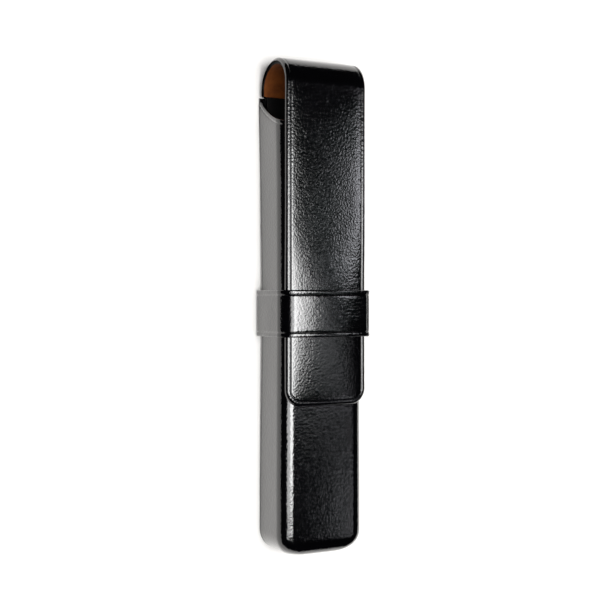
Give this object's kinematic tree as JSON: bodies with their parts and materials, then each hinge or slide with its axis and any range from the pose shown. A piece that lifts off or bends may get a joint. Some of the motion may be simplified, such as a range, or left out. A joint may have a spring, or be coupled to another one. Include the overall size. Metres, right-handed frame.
{
  "type": "fountain pen case",
  "caption": "Slim moulded leather case for a single fountain pen; a lined strap arches over the mouth and tucks its rounded tip under a keeper band.",
  "frame": {"origin": "on the resting plane under the middle of the case's length and width", "axes": "+Y along the case from its closed foot to its mouth, +Z out of the front where the strap lies, X across its width; the case lies on its back"},
  "size_m": [0.032, 0.157, 0.0202],
  "materials": {
    "black_leather": "glossy black moulded leather with a fine grain and burnished edges",
    "tan_lining": "matt tan leather lining, lightly napped",
    "black_lining": "matt black lining leather",
    "leatherboard": "plain matt leatherboard, hidden inside the back"
  },
  "bodies": {
    "case": {"body_tray": "black_leather", "tray_lining": "black_lining", "back_panel": "black_leather", "back_stiffener": "leatherboard", "back_lining": "black_lining", "keeper_band": "black_leather", "strap_root": "black_leather", "root_lining": "tan_lining"},
    "crown_1": {"crown_strap_1": "black_leather", "crown_lining_1": "tan_lining"},
    "crown_2": {"crown_strap_2": "black_leather", "crown_lining_2": "tan_lining"},
    "crown_3": {"crown_strap_3": "black_leather", "crown_lining_3": "tan_lining"},
    "crown_4": {"crown_strap_4": "black_leather", "crown_lining_4": "tan_lining"},
    "flap_upper": {"upper_strap": "black_leather", "upper_lining": "tan_lining"},
    "flap_middle": {"middle_strap": "black_leather", "middle_lining": "tan_lining"},
    "flap_tip": {"tip_strap": "black_leather", "tip_lining": "tan_lining"}
  },
  "joints": [
    {"name": "flap_open", "type": "hinge", "parent": "case", "child": "crown_1", "pos_m": [0, 0.07301, 0.00178], "axis": [-1, 0, 0], "range_deg": [0, 33]},
    {"name": "crown_bend_2", "type": "hinge", "parent": "crown_1", "child": "crown_2", "pos_m": [0, 0.07782, 0.00659], "axis": [-1, 0, 0], "range_deg": [0, 33]},
    {"name": "crown_bend_3", "type": "hinge", "parent": "crown_2", "child": "crown_3", "pos_m": [0, 0.07782, 0.01341], "axis": [-1, 0, 0], "range_deg": [0, 33]},
    {"name": "crown_bend_4", "type": "hinge", "parent": "crown_3", "child": "crown_4", "pos_m": [0, 0.07301, 0.01822], "axis": [-1, 0, 0], "range_deg": [0, 33]},
    {"name": "flap_pull", "type": "hinge", "parent": "crown_4", "child": "flap_upper", "pos_m": [0, 0.0661, 0.0189], "axis": [-1, 0, 0], "range_deg": [0, 74]},
    {"name": "flap_knee", "type": "hinge", "parent": "flap_upper", "child": "flap_middle", "pos_m": [0, 0.0371, 0.0169], "axis": [1, 0, 0], "range_deg": [0, 148]},
    {"name": "flap_tip_bend", "type": "hinge", "parent": "flap_middle", "child": "flap_tip", "pos_m": [0, 0.0081, 0.0189], "axis": [-1, 0, 0], "range_deg": [0, 74]}
  ],
  "couplings": [
    {"joint": "crown_bend_2", "follows": "flap_open", "ratio": 1},
    {"joint": "crown_bend_3", "follows": "flap_open", "ratio": 1},
    {"joint": "crown_bend_4", "follows": "flap_open", "ratio": 1},
    {"joint": "flap_knee", "follows": "flap_pull", "ratio": 2},
    {"joint": "flap_tip_bend", "follows": "flap_pull", "ratio": 1}
  ]
}
